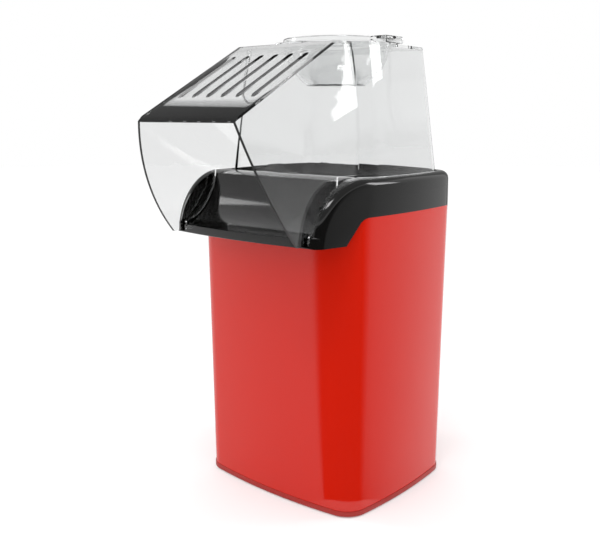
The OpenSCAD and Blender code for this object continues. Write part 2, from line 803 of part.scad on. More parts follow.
module motor_magnets() {
    color([0.2, 0.2, 0.22]) difference() {
        tube(motor_r - can_t, motor_r - can_t - magnet_t, motor_bottom + 3, motor_top - 5);
        // The gaps between the four magnets
        for (a = [0, 90]) rotate(a) translate([0, 0, motor_top])
            cube([8, 3 * motor_r, 4 * motor_len], center = true);
    }
}

module motor_bushes() {
    color([0.75, 0.60, 0.30]) {
        tube(bush_r, shaft_r + run_gap, motor_bottom - bell_t, motor_bottom);
        tube(bush_r, shaft_r + run_gap, motor_top - can_t, motor_top + boss_motor_h);
    }
}

module motor_armature() {
    color([0.72, 0.40, 0.20]) {
        tube(motor_r - can_t - magnet_t - 0.6, shaft_r, motor_bottom + 8, motor_top - 8);
        tube(4, shaft_r, motor_bottom + 2, motor_bottom + 8 + eps);
    }
}

module motor_shaft() {
    color([0.8, 0.8, 0.82]) translate([0, 0, shaft_bottom])
        cylinder(r = shaft_r, h = fan_z + fan_h - 2 - shaft_bottom);
}

module motor_screws() {
    color([0.7, 0.7, 0.72]) for (s = [-1, 1])
        translate([s * motor_screw_at, 0, housing_z + housing_plate]) rotate([180, 0, 0])
            pan_screw(0, 3.3, 1, 1.9);
}

module rectifier_board() {
    color([0.10, 0.35, 0.18]) tube(board_r, bush_r, board_z, board_z + 1.6);
}

module diodes() {
    color([0.05, 0.05, 0.05]) around(4) translate([9, 0, board_z - 1.4]) rotate([90, 0, 0])
        cylinder(r = 1.4, h = 6, center = true, $fn = 32);
}

// ---------- switch and gland ----------

module cord_gland() {
    color([0.06, 0.06, 0.06]) translate([0, 0, gland_z]) rotate([-90, 0, 0]) difference() {
        union() {
            translate([0, 0, back_flat_y]) cylinder(r1 = gland_flange_r, r2 = gland_neck_r + 0.8, h = 4);
            translate([0, 0, back_flat_y - 9]) cylinder(r = gland_neck_r, h = 9 + eps);
        }
        translate([0, 0, back_flat_y - 20]) cylinder(r = gland_r, h = 40);
    }
}

module gland_nut() {
    color([0.06, 0.06, 0.06]) translate([0, 0, gland_z]) rotate([-90, 0, 0]) difference() {
        translate([0, 0, back_in_y - 4.4]) cylinder(r = gland_neck_r + 2.6, h = 4, $fn = 6);
        translate([0, 0, back_in_y - 20]) cylinder(r = gland_neck_r, h = 40);
    }
}

module switch_housing() {
    color([0.04, 0.04, 0.04]) difference() {
        union() {
            translate([-bezel_w / 2, back_flat_y, switch_z - bezel_h / 2]) cube([bezel_w, bezel_t, bezel_h]);
            translate([-switch_w / 2, back_flat_y - switch_depth, switch_z - switch_h / 2])
                cube([switch_w, switch_depth + eps, switch_h]);
        }
        translate([-rocker_w / 2 - 0.4, back_flat_y - 8, switch_z - rocker_h / 2 - 0.8])
            cube([rocker_w + 0.8, 20, rocker_h + 1.6]);
        translate([-switch_w / 2 + 1, rocker_y(), switch_z]) rotate([0, 90, 0])
            cylinder(r = rocker_pin_r + run_gap, h = switch_w - 2, $fn = 32);
    }
}

function rocker_y() = back_flat_y - rocker_back;

module switch_rocker() {
    color([0.5, 0.03, 0.02]) translate([0, rocker_y(), switch_z]) rotate([rocker_tilt, 0, 0]) {
        difference() {
            intersection() {
                translate([-rocker_w / 2, -4, -rocker_h / 2 + 0.4]) cube([rocker_w, 12, rocker_h - 0.8]);
                translate([-rocker_w / 2, -3.2, 0]) rotate([0, 90, 0]) cylinder(r = rocker_r, h = rocker_w);
            }
            translate([-rocker_w, rocker_r + 4, 0]) rotate([0, 90, 0])
                cylinder(r = rocker_r, h = 2 * rocker_w);
        }
        translate([-rocker_w / 2 - 1, 0, 0]) rotate([0, 90, 0])
            cylinder(r = rocker_pin_r, h = rocker_w + 2, $fn = 32);
    }
}

module switch_terminals() {
    color([0.75, 0.62, 0.30]) for (s = [-1, 1])
        translate([-2.4, back_flat_y - switch_depth - 7, switch_z + s * 5 - 0.4]) cube([4.8, 7, 0.8]);
}

body_shell();
base_cover();
rubber_feet();
base_screws();
collar();
collar_screws();
lid();
measuring_cup();
popping_chamber();
chamber_screws();
chamber_seal();
heat_shield();
heater_duct();
mica_plate_long();
mica_plate_cross();
heating_coil();
thermostat();
thermal_fuse();
fan_housing();
housing_screws();
fan_impeller();
motor_can();
motor_end_bell();
motor_magnets();
motor_bushes();
motor_armature();
motor_shaft();
motor_screws();
rectifier_board();
diodes();
cord_gland();
gland_nut();
switch_housing();
switch_rocker();
switch_terminals();
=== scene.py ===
import math

import bmesh
import bpy
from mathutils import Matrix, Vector
from mathutils.geometry import intersect_sphere_sphere_2d


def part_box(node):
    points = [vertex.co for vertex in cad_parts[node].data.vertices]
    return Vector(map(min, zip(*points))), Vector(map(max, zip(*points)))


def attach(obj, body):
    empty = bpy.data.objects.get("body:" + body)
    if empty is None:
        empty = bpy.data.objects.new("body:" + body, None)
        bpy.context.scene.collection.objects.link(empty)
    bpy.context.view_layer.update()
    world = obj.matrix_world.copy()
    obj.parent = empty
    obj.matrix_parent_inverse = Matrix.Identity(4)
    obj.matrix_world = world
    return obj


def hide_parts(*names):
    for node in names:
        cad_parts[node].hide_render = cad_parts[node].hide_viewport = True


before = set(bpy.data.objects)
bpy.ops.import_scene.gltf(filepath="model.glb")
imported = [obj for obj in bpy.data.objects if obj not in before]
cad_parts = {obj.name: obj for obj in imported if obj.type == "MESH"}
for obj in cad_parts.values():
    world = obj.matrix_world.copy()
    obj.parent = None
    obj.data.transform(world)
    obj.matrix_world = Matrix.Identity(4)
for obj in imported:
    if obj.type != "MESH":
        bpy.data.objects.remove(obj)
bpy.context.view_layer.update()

scene = bpy.context.scene
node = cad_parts
mm = 0.001


# ---------- Camera ----------
# Eye level is just above the chute, a quarter turn to the machine's right, and the lens is shifted
# so that upright edges stay upright.
eye = Vector((0.3514, -0.4355, 0.2522))
aim = Vector((-0.0140, -0.0121, 0.1820))
camera_data = bpy.data.cameras.new("camera")
camera_data.sensor_width = 36
camera_data.lens = 48.65
camera_data.shift_y = -0.1004
camera = bpy.data.objects.new("camera", camera_data)
camera.location = eye
camera.rotation_euler = (aim - eye).to_track_quat("-Z", "Y").to_euler()
scene.collection.objects.link(camera)
scene.camera = camera


# ---------- Floor, surround and lights ----------
# A white table in an even white surround, with three soft boxes. A curved black card stands on the
# near side, under a grey ceiling with a wall behind. Only gloss sees those, as darker bands.
class Link:
    def __init__(self, tree, socket=None):
        self.tree = tree
        self.socket = socket

    def node(self, kind, settings=None, inputs=None, output=0):
        made = self.tree.nodes.new(kind)
        for key, value in (settings or {}).items():
            if key == "stops":
                ramp = made.color_ramp.elements
                while len(ramp) < len(value):
                    ramp.new(0.5)
                for stop, (place, colour) in zip(ramp, value):
                    stop.position = place
                    stop.color = (*colour, 1)
            else:
                setattr(made, key, value)
        for key, value in (inputs or {}).items():
            if isinstance(value, Link):
                self.tree.links.new(value.socket, made.inputs[key])
            else:
                made.inputs[key].default_value = value
        return Link(self.tree, made.outputs[output])

    def out(self, place):
        return Link(self.tree, self.socket.node.outputs[place])

    def math(self, operation, first, second=0.0):
        return self.node("ShaderNodeMath", {"operation": operation}, {0: first, 1: second})

    def __add__(self, other):
        return self.math("ADD", self, other)

    def __sub__(self, other):
        return self.math("SUBTRACT", self, other)

    def __rsub__(self, other):
        return self.math("SUBTRACT", other, self)

    def __mul__(self, other):
        return self.math("MULTIPLY", self, other)

    __radd__ = __add__
    __rmul__ = __mul__


def finish(name, colour, rough, detail, **sockets):
    """A material whose colour, roughness and bump come from detail(start, at)."""
    material = bpy.data.materials.new(name)
    material.use_nodes = True
    tree = material.node_tree
    shader = tree.nodes["Principled BSDF"]
    shader.inputs["Base Color"].default_value = (*colour, 1)
    shader.inputs["Roughness"].default_value = rough
    for key, value in sockets.items():
        shader.inputs[key.replace("_", " ")].default_value = value
    start = Link(tree)
    at = start.node("ShaderNodeTexCoord", output="Object")
    for key, value in detail(start, at).items():
        tree.links.new(value.socket, shader.inputs[key])
    return material


def soft_box(name, place, target, size, watts):
    data = bpy.data.lights.new(name, "AREA")
    data.shape = "RECTANGLE"
    data.size, data.size_y = size
    data.energy = watts
    lamp = bpy.data.objects.new(name, data)
    lamp.location = place
    lamp.rotation_euler = (Vector(target) - Vector(place)).to_track_quat("-Z", "Y").to_euler()
    scene.collection.objects.link(lamp)


scene.view_settings.view_transform = "Standard"
soft_box("top_box", (0.15, -0.55, 1.25), (0, 0, 0.2), (0.45, 0.3), 4)
soft_box("left_box", (-1.1, -0.5, 0.7), (0, 0, 0.15), (0.25, 0.8), 3)
soft_box("right_box", (0.9, 0.9, 0.8), (0, 0, 0.15), (0.25, 0.6), 3)

world = bpy.data.worlds.new("surround")
scene.world = world
world.use_nodes = True
world.node_tree.nodes["Background"].inputs["Color"].default_value = (1, 1, 1, 1)
world.node_tree.nodes["Background"].inputs["Strength"].default_value = 1.0

bpy.ops.object.select_all(action="DESELECT")
bpy.ops.mesh.primitive_circle_add(vertices=96, radius=3.5, fill_type="NGON")
floor = bpy.context.object
floor.name = "floor"
floor.data.materials.append(finish("white_table", (0.85, 0.85, 0.85), 0.7, lambda start, at: {},
                                   Emission_Color=(1, 1, 1, 1), Emission_Strength=0.16))


def gloss_only(panel):
    """Makes a panel part of the set that nothing but a glossy reflection shows."""
    panel.visible_camera = False
    panel.visible_diffuse = False
    panel.visible_shadow = False
    panel.visible_transmission = False


card_hub = Vector((0.0517, -0.0434, 0.0005))
card_from, card_to = math.radians(-200), math.radians(80)
card_near, card_far, card_height = 0.03, 1.5, 1.0
bpy.ops.object.select_all(action="DESELECT")
bpy.ops.mesh.primitive_plane_add(size=0.001)
card = bpy.context.object
card.name = "black_card"
bpy.ops.object.mode_set(mode="EDIT")
bpy.ops.mesh.merge(type="CENTER")
ray = Vector((math.cos(card_from), math.sin(card_from), 0))
bpy.ops.transform.translate(value=card_hub + ray * card_near)
bpy.ops.mesh.extrude_region_move(TRANSFORM_OT_translate={"value": ray * (card_far - card_near)})
bpy.ops.mesh.extrude_region_move(TRANSFORM_OT_translate={"value": (0, 0, card_height)})
bpy.ops.mesh.select_all(action="SELECT")
bpy.ops.mesh.spin(steps=80, angle=card_from - card_to, center=card_hub, axis=(0, 0, 1))
bpy.ops.object.mode_set(mode="OBJECT")
gloss_only(card)

card_black = bpy.data.materials.new("card_black")
card_black.use_nodes = True
tree = card_black.node_tree
matt = tree.nodes["Principled BSDF"]
matt.inputs["Base Color"].default_value = (0, 0, 0, 1)
matt.inputs["Specular IOR Level"].default_value = 0
start = Link(tree)
spot = start.node("ShaderNodeTexCoord", output="Object")
spot = start.node("ShaderNodeVectorMath", {"operation": "SUBTRACT"}, {0: spot, 1: card_hub})
split = start.node("ShaderNodeSeparateXYZ", {}, {0: spot})
turn = split.math("ARCTAN2", split.out(0), -1 * split.out(1))
share = start.node("ShaderNodeMapRange", {}, {0: turn, 1: math.radians(-110), 2: math.radians(170)})
see_through = start.node("ShaderNodeValToRGB", {"stops": [
    (0.0, (0.7, 0.7, 0.7)), (0.292, (0.7, 0.7, 0.7)), (0.294, (0, 0, 0)), (0.739, (0, 0, 0)),
    (0.993, (1, 1, 1))]}, {0: share})
mixed = start.node("ShaderNodeMixShader", {}, {0: see_through, 1: Link(tree, matt.outputs[0]),
                                               2: start.node("ShaderNodeBsdfTransparent")})
tree.links.new(mixed.socket, tree.nodes["Material Output"].inputs["Surface"])
card.data.materials.append(card_black)

ceiling_r, ceiling_z = 1.6, 1.3
wall_from, wall_to = math.radians(84), math.radians(165)
bpy.ops.object.select_all(action="DESELECT")
bpy.ops.mesh.primitive_circle_add(vertices=96, radius=ceiling_r, fill_type="NGON",
                                  location=(0, 0, ceiling_z))
bpy.ops.object.transform_apply(location=True)
ceiling = bpy.context.object
ceiling.name = "grey_ceiling"
bpy.ops.object.mode_set(mode="EDIT")
bpy.ops.mesh.select_all(action="DESELECT")
ring = bmesh.from_edit_mesh(ceiling.data)
for edge in ring.edges:
    middle = (edge.verts[0].co + edge.verts[1].co) / 2
    edge.select_set(wall_from < math.atan2(middle.y, middle.x) < wall_to)
bmesh.update_edit_mesh(ceiling.data)
bpy.ops.mesh.extrude_region_move(TRANSFORM_OT_translate={"value": (0, 0, -ceiling_z)})
bpy.ops.object.mode_set(mode="OBJECT")
gloss_only(ceiling)
ceiling.data.materials.append(finish("ceiling_grey", (0, 0, 0), 1.0, lambda start, at: {},
                                     Specular_IOR_Level=0.0, Emission_Color=(1, 1, 1, 1),
                                     Emission_Strength=0.38))


# ---------- Body shell ----------
# The red outer case, one gloss ABS moulding with crowned sides, rounded corners, a draft towards
# the foot and a band under the collar that stands proud. Its back is pierced for air, the switch
# and the cord.
shell_low, shell_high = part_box("body_shell")
crown = 370 * mm
band_half_w = shell_high.x
band_half_d = 63.2 * mm
band_step = 1.8 * mm
half_w = band_half_w - band_step
half_d = 61.4 * mm
corner = 18 * mm
draft = 1.3 * mm
shoulder = 173 * mm
seam = shell_high.z
seam_front = shoulder + 1.5 * mm
shell_wall = 2.5 * mm


def noise(start, at, scale, detail=2.0, roughness=0.5):
    return start.node("ShaderNodeTexNoise", {}, {"Vector": at, "Scale": scale, "Detail": detail,
                                                 "Roughness": roughness})


def blend_colours(start, amount, first, second):
    return start.node("ShaderNodeMix", {"data_type": "RGBA"},
                      {0: amount, 6: (*first, 1), 7: (*second, 1)}, output=2)


def bump(start, height, strength, distance):
    return start.node("ShaderNodeBump", {}, {"Height": height, "Strength": strength, "Distance": distance})


def moulded(colour, shade, rough, grain, depth):
    """Injection-moulded plastic: slow colour drift, faint gloss drift and a fine surface."""
    def detail(start, at):
        drift = noise(start, at, 18)
        fine = noise(start, at, grain, 3)
        return {"Base Color": blend_colours(start, drift, colour, shade),
                "Roughness": drift * 0.06 + (rough - 0.03),
                "Normal": bump(start, fine, depth, 0.0004)}
    return detail


def outline(half_w, front, back, front_corner, back_corner, inset=0.0, front_crown=crown):
    """The arcs (centre, radius, first angle, last angle, steps) of a crowned, rounded oblong."""
    def meet(a, radius_a, b, radius_b, ahead):
        points = intersect_sphere_sphere_2d(a, radius_a, b, radius_b)
        return max(points, key=lambda p: (p.x > 0, p.y * ahead))

    def angle(a, b):
        return math.atan2(b.y - a.y, b.x - a.x)

    side_c = Vector((half_w - crown, 0))
    front_c = Vector((0, front + front_crown))
    back_c = Vector((0, back - crown))
    near = meet(side_c, crown - front_corner, front_c, front_crown - front_corner, -1)
    far = meet(side_c, crown - back_corner, back_c, crown - back_corner, 1)
    right = [(front_c, front_crown - inset, -math.pi / 2, angle(front_c, near), 8),
             (near, front_corner - inset, angle(front_c, near), angle(side_c, near), 12),
             (side_c, crown - inset, angle(side_c, near), angle(side_c, far), 18),
             (far, back_corner - inset, angle(side_c, far), angle(back_c, far), 12),
             (back_c, crown - inset, angle(back_c, far), math.pi / 2, 8)]
    left = [(Vector((-c.x, c.y)), r, math.pi - last, math.pi - first, n)
            for c, r, first, last, n in reversed(right)]
    return right + left


def on_arc(move, angle):
    centre, radius = move[0], move[1]
    return Vector((centre[0] + radius * math.cos(angle), centre[1] + radius * math.sin(angle)))


def trace(moves, lift, axis):
    """Draws a closed wire in edit mode from points and arcs, in the plane square to an axis."""
    def place(p):
        return Vector({"X": (lift, *p), "Y": (p[0], lift, p[1]), "Z": (*p, lift)}[axis])

    bpy.ops.mesh.primitive_plane_add(size=0.001)
    bpy.ops.mesh.merge(type="CENTER")
    here = None
    for move in moves:
        goal = place(on_arc(move, move[2]) if len(move) == 5 else move)
        if here is None:
            bpy.ops.transform.translate(value=goal)
        elif (goal - here).length > 1e-6:
            bpy.ops.mesh.extrude_region_move(TRANSFORM_OT_translate={"value": goal - here})
        here = goal
        if len(move) == 5:
            centre, radius, first, last, steps = move
            bpy.ops.mesh.spin(steps=steps, angle=first - last, center=place(centre),
                              axis=(0, 0, 1) if axis == "Z" else (1, 0, 0))
            here = place(on_arc(move, last))


def choose(piece, wanted):
    """Selects the vertices that a test on their place accepts."""
    mesh = bmesh.from_edit_mesh(piece.data)
    for vertex in mesh.verts:
        vertex.select_set(wanted(vertex.co))
    mesh.select_flush(True)
    bmesh.update_edit_mesh(piece.data)


def start_piece(name):
    bpy.ops.object.select_all(action="DESELECT")
    bpy.ops.mesh.primitive_plane_add(size=0.001)
    piece = bpy.context.object
    piece.name = name
    bpy.ops.object.mode_set(mode="EDIT")
    bpy.ops.mesh.select_mode(type="VERT")
    bpy.ops.mesh.delete(type="VERT")
    return piece


def close_piece(piece):
    bpy.ops.mesh.select_all(action="SELECT")
    bpy.ops.mesh.remove_doubles(threshold=1e-6)
    bpy.ops.mesh.normals_make_consistent(inside=False)
    bpy.ops.object.mode_set(mode="OBJECT")
    return piece


def loft(name, rings):
    """A closed solid through traced rings, each given as (outline, height)."""
    piece = start_piece(name)
    for moves, height in rings:
        trace(moves, height, "Z")
        bpy.ops.mesh.select_all(action="SELECT")
        bpy.ops.mesh.remove_doubles(threshold=1e-6)
    heights = [height for _, height in rings]
    for low, high in zip(heights, heights[1:]):
        choose(piece, lambda co: min(abs(co.z - low), abs(co.z - high)) < 1e-6)
        bpy.ops.mesh.bridge_edge_loops()
    for end in (heights[0], heights[-1]):
        choose(piece, lambda co: abs(co.z - end) < 1e-6)
        bpy.ops.mesh.edge_face_add()
    return close_piece(piece)


def prism(name, moves, first, last):
    """A side profile given as (y, z) points and arcs, drawn out across the machine."""
    piece = start_piece(name)
    trace(moves, first, "X")
    bpy.ops.mesh.select_all(action="SELECT")
    bpy.ops.mesh.remove_doubles(threshold=1e-6)
    bpy.ops.mesh.edge_face_add()
    bpy.ops.mesh.extrude_region_move(TRANSFORM_OT_translate={"value": (last - first, 0, 0)})
    return close_piece(piece)


def apply(piece, kind, **settings):
    bpy.context.view_layer.objects.active = piece
    modifier = piece.modifiers.new(kind.lower(), kind)
    for key, value in settings.items():
        setattr(modifier, key, value)
    bpy.ops.object.modifier_apply(modifier=modifier.name)


def cut(piece, tool, operation="DIFFERENCE"):
    apply(piece, "BOOLEAN", operation=operation, solver="EXACT", object=tool)
    bpy.data.objects.remove(tool)


def soften(piece, width, segments=3, angle=40):
    apply(piece, "BEVEL", width=width, segments=segments, limit_method="ANGLE",
          angle_limit=math.radians(angle), use_clamp_overlap=True, harden_normals=False)


def pick(piece):
    bpy.ops.object.select_all(action="DESELECT")
    piece.select_set(True)
    bpy.context.view_layer.objects.active = piece


def smooth(piece, angle=35):
    pick(piece)
    bpy.ops.object.shade_smooth_by_angle(angle=math.radians(angle))


def block(name, low, high):
    bpy.ops.object.select_all(action="DESELECT")
    low, high = Vector(low), Vector(high)
    bpy.ops.mesh.primitive_cube_add(size=1, location=(low + high) / 2, scale=high - low)
    bpy.ops.object.transform_apply(location=True, rotation=True, scale=True)
    bpy.context.object.name = name
    return bpy.context.object


def body_line(inset):
    return outline(half_w, -half_d, half_d, corner, corner, inset)


far = 130 * mm
through = 100 * mm
seam_path = [(-far, seam_front), (-half_d - 1.1 * mm, seam_front),
             (-half_d + 10.2 * mm, seam - 2.6 * mm), (-half_d + 12.6 * mm, seam - 0.9 * mm),
             (-half_d + 16 * mm, seam), (far, seam)]


def above_seam():
    return prism("above_seam", seam_path + [(far, 320 * mm), (-far, 320 * mm)], -through, through)


def body_rings(inset, low, high):
    return [(body_line(draft + inset), low), (body_line(inset), shoulder),
            (body_line(inset - 0.2 * mm), shoulder + 0.5 * mm),
            (body_line(inset - band_step + 0.2 * mm), shoulder + 2.0 * mm),
            (body_line(inset - band_step), shoulder + 2.6 * mm), (body_line(inset - band_step), high)]


def disc(name, centre, radius, depth, axis="Y", sides=64):
    bpy.ops.object.select_all(action="DESELECT")
    bpy.ops.mesh.primitive_cylinder_add(vertices=sides, radius=radius, depth=depth, location=centre,
                                        rotation=(math.pi / 2, 0, 0) if axis == "Y" else (0, 0, 0))
    bpy.ops.object.transform_apply(location=True, rotation=True)
    bpy.context.object.name = name
    return bpy.context.object


foot = shell_low.z
round_foot = [(body_line(draft + 1.2 * mm), foot), (body_line(draft + 0.35 * mm), foot + 0.35 * mm)]
body = loft("body_case", round_foot + body_rings(0, foot + 1.2 * mm, seam + 2 * mm))
cut(body, above_seam())
cut(body, loft("body_hollow", body_rings(shell_wall, foot - 1 * mm, seam + 3 * mm)))

back_flat = half_d - draft - 0.6 * mm
switch_z, gland_z = 44 * mm, 20 * mm
flat_depth, hole_reach = 5 * mm, 10 * mm
bezel_w, bezel_h = 17 * mm, 23 * mm
switch_w, switch_h = 13 * mm, 19.2 * mm
gland_flat_r, gland_hole_r = 8.6 * mm, 5.2 * mm
cut(body, block("switch_flat", (-bezel_w / 2, back_flat, switch_z - bezel_h / 2),
                (bezel_w / 2, back_flat + flat_depth, switch_z + bezel_h / 2)))
cut(body, block("switch_hole", (-switch_w / 2, back_flat - hole_reach, switch_z - switch_h / 2),
                (switch_w / 2, back_flat + hole_reach, switch_z + switch_h / 2)))
cut(body, disc("gland_flat", (0, back_flat + flat_depth / 2, gland_z), gland_flat_r, flat_depth))
cut(body, disc("gland_hole", (0, back_flat, gland_z), gland_hole_r, 2 * hole_reach))

vent_x, vent_z, vent_pitch, vent_rows = 40 * mm, 20 * mm, 5.5 * mm, 8
vent_w, vent_h = 20 * mm, 2.4 * mm
for side in (-1, 1):
    for row in range(vent_rows):
        height = vent_z + vent_pitch * row
        vent = block("vent", (side * vent_x - vent_w / 2, half_d - 8 * mm, height - vent_h / 2),
                     (side * vent_x + vent_w / 2, half_d + 4 * mm, height + vent_h / 2))
        soften(vent, 1.1 * mm, 3, 60)
        cut(body, vent)

case_red = moulded((0.560, 0.0125, 0.0038), (0.540, 0.0115, 0.0034), 0.07, 900, 0.015)
body.data.materials.append(finish("case_red", (0.55, 0.012, 0.0036), 0.07, case_red))
smooth(body)
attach(body, "machine")
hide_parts("body_shell")


# ---------- Collar and chute ----------
# The black ABS collar that closes the top of the case. Its rim is rolled and polished, its flanks
# are satin, and at the front it runs down in two arches with the popcorn scoop between them.
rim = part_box("collar")[1].z
front = -89 * mm
arch_r = 40.3 * mm
arch = (-44 * mm, rim - arch_r)
scoop_r = 34.5 * mm
scoop = (front - 0.5 * mm, rim + 1 * mm)
dam = scoop[0] + scoop_r
scoop_floor = scoop[1] - scoop_r
chute_half = 57 * mm
rim_w = 7.8 * mm
deck_top = rim - 7 * mm
collar_wall = 2.4 * mm
deck = deck_top - 2.5 * mm
bead = 5.2 * mm
lip_rise = 1.5 * mm
mouth_r = 45 * mm


def collar_line(inset, front_y=front, front_corner=10 * mm):
    return outline(band_half_w, front_y, band_half_d, front_corner, corner + band_step, inset, 400 * mm)


def dome_line(inset):
    return outline(band_half_w, -51 * mm, band_half_d, 26 * mm, corner + band_step, inset)


def arch_side(grow):
    """The collar seen from the side: flat rim, quarter-round arch, upright front."""
    low = seam - 50 * mm
    return [(through, low), (through, rim + grow), (arch, arch_r + grow, math.pi / 2, math.pi, 24),
            (arch[0] - arch_r - grow, low)]


def scoop_side(grow):
    return [(scoop, scoop_r + grow, 0, -math.pi / 2, 32), (front - 0.02, scoop_floor - grow),
            (front - 0.02, rim + 0.02), (dam + grow, rim + 0.02)]


def side_x(y):
    """How far out the crowned side stands at a depth."""
    return band_half_w - crown + math.sqrt(crown ** 2 - y ** 2)


def mirrored(move):
    """A point or an arc on the other side of the machine, run the other way."""
    if len(move) == 2:
        return (-move[0], move[1])
    centre, radius, first, last, steps = move
    return (Vector((-centre.x, centre.y)), radius, math.pi - last, math.pi - first, steps)


# The cheeks are straight from the arch's crown forward, so that the bead runs round them evenly
side_arc, back_corner, back_arc = collar_line(0)[2:5]
cheek_run = 50 * mm
cheek_x = side_x(arch[0]) - (side_x(arch[0]) - side_x(arch[0] - arch_r)) * cheek_run / arch_r
right = [(cheek_x, arch[0] - cheek_run), (side_x(arch[0]), arch[0]),
         (side_arc[0], crown, math.asin(arch[0] / crown), side_arc[3], 14), back_corner, back_arc]
around = right + [mirrored(move) for move in reversed(right)] + right[:1]
collar = loft("collar_rim", [(around, seam_front - 12 * mm), (around, rim + 5 * mm)])
cut(collar, prism("arch_sides", arch_side(0), -through, through), "INTERSECT")
pick(collar)
bpy.ops.object.mode_set(mode="EDIT")
bpy.ops.mesh.select_mode(type="EDGE")
bpy.ops.mesh.select_all(action="SELECT")
bpy.ops.mesh.remove_doubles(threshold=0.25 * mm)
bpy.ops.mesh.dissolve_degenerate(threshold=0.1 * mm)
bpy.ops.mesh.select_all(action="DESELECT")
shape = bmesh.from_edit_mesh(collar.data)
for edge in shape.edges:
    middle_z = (edge.verts[0].co.z + edge.verts[1].co.z) / 2
    edge.select_set(len(edge.link_faces) == 2 and middle_z > seam_front - 11 * mm
                    and edge.calc_face_angle() > math.radians(38))
bmesh.update_edit_mesh(collar.data)
bpy.ops.mesh.bevel(offset=bead, segments=8, profile=0.5, affect="EDGES", clamp_overlap=False)
bpy.ops.mesh.select_mode(type="VERT")
bpy.ops.object.mode_set(mode="OBJECT")
cut(collar, above_seam(), "INTERSECT")

lip = loft("lip", [(collar_line(0), seam_front), (collar_line(0), scoop_floor + lip_rise)])
lip_end = chute_half + 4 * mm
cut(lip, block("lip_front", (-lip_end, front - 5 * mm, 0), (lip_end, front + 25 * mm, 0.3)), "INTERSECT")
soften(lip, 0.9 * mm, 3, 60)
cut(collar, lip, "UNION")

# The scoop, with two shallow steps that follow the arch on the inside of each cheek
scoop_tool = prism("scoop_space", scoop_side(0), -chute_half, chute_half)
step_low, step_back, step_depth = scoop_floor + 6 * mm, dam - 3 * mm, 0.9 * mm
for step, inside in enumerate((6 * mm, 10 * mm)):
    reach = chute_half + (step + 1) * step_depth
    step_r = arch_r - inside
    first = math.acos((step_back - arch[0]) / step_r)
    last = math.pi - math.asin((step_low - arch[1]) / step_r)
    cheek_step = prism("cheek_step", [(step_back, step_low), (arch, step_r, first, last, 20)], -reach, reach)
    cut(cheek_step, prism("scoop_inset", scoop_side(-1 * mm), -through, through), "INTERSECT")
    cut(scoop_tool, cheek_step, "UNION")
cut(collar, scoop_tool)
cut(collar, loft("lid_well", [(dome_line(rim_w), deck_top), (dome_line(rim_w), rim + 1 * mm)]))
collar_hollow = loft("collar_hollow", [(collar_line(collar_wall), seam_front - 1 * mm),
                                       (collar_line(collar_wall), deck)])
cut(collar_hollow, prism("arch_inside", arch_side(-collar_wall), -through, through), "INTERSECT")
scoop_reach = chute_half + collar_wall
cut(collar_hollow, prism("scoop_plate", scoop_side(collar_wall), -scoop_reach, scoop_reach))
cut(collar_hollow, block("under_lip", (-through, front - 10 * mm, 0),
                         (through, -half_d - 2.1 * mm, seam_front + collar_wall)))
cut(collar, collar_hollow)
cut(collar, disc("chamber_mouth", (0, 0, rim), mouth_r, 0.05, "Z", 128))

# The two notches in the lip that the hood's feet drop into
notch_x, notch_w, notch_floor, notch_top = 53.07 * mm, 5.5 * mm, 175.4 * mm, 190 * mm
for side in (-1, 1):
    cut(collar, block("foot_notch", (side * notch_x - notch_w / 2, front - 5 * mm, notch_floor),
                      (side * notch_x + notch_w / 2, front + 8 * mm, notch_top)))

gloss_black = moulded((0.0042, 0.0042, 0.0040), (0.0056, 0.0055, 0.0053), 0.09, 300, 0.012)
collar.data.materials.append(finish("collar_gloss", (0.0045, 0.0045, 0.0043), 0.09, gloss_black))
smooth(collar, 30)
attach(collar, "machine")
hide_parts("collar")


# ---------- Lid ----------
# The clear lid, one polystyrene moulding about 2 mm thick: a dome that stands in the collar's rim
# and a pouring hood with a sloping top, six steam slots and two sides that curve outwards.
lid_top = rim + 82.7 * mm
lid_wall = 2 * mm
lid_in = rim_w + 0.5 * mm
lid_lean = 2.8 * mm
lid_edge = 8 * mm
hood_half = 41 * mm
hood_top_y = -43.3 * mm
hood_front = -128.4 * mm
hood_drop = 46.7 * mm
slope = hood_drop / (hood_top_y - hood_front)
hood_lean, hood_steepen = 0.28, 1.5
upright = hood_lean / (2 * hood_steepen)
hood_edge = (front + 120.6 * mm, lid_top - 12.4 * mm)
hood_edge_r = 164.6 * mm
hood_foot = seam_front + 1.5 * mm


def hood_top(y):
    return lid_top + slope * (y - hood_top_y)


def dome(name, inset, low):
    """The dome as a solid: leaning sides and a rounded top edge."""
    rings = [(dome_line(lid_in + inset), low)]
    for step in range(9):
        turn = step * math.pi / 16
        rings.append((dome_line(lid_in + lid_lean + inset + (lid_edge - inset) * (1 - math.cos(turn))),
                      lid_top - lid_edge + (lid_edge - inset) * math.sin(turn)))
    return loft(name, rings)


def hood(name, inset, side):
    """A side profile drawn out across, trimmed by two curved flanks that are swept down the slope."""
    back, reach = -20 * mm, -140 * mm
    flank = []
    for depth in [-20 * mm] + [upright * i / 16 for i in range(17)] + [upright + 60 * mm]:
        inner = min(depth, upright)
        flank.append((hood_half + hood_lean * inner - hood_steepen * inner ** 2 - inset,
                      hood_top(back) - depth))
    wedge = start_piece(name + "_flanks")
    trace(flank + [(-x, z) for x, z in reversed(flank)], back, "Y")
    bpy.ops.mesh.select_all(action="SELECT")
    bpy.ops.mesh.edge_face_add()
    bpy.ops.mesh.extrude_region_move(TRANSFORM_OT_translate={"value": (0, reach, reach * slope)})
    close_piece(wedge)
    piece = prism(name, side, -80 * mm, 80 * mm)
    cut(piece, wedge, "INTERSECT")
    return piece


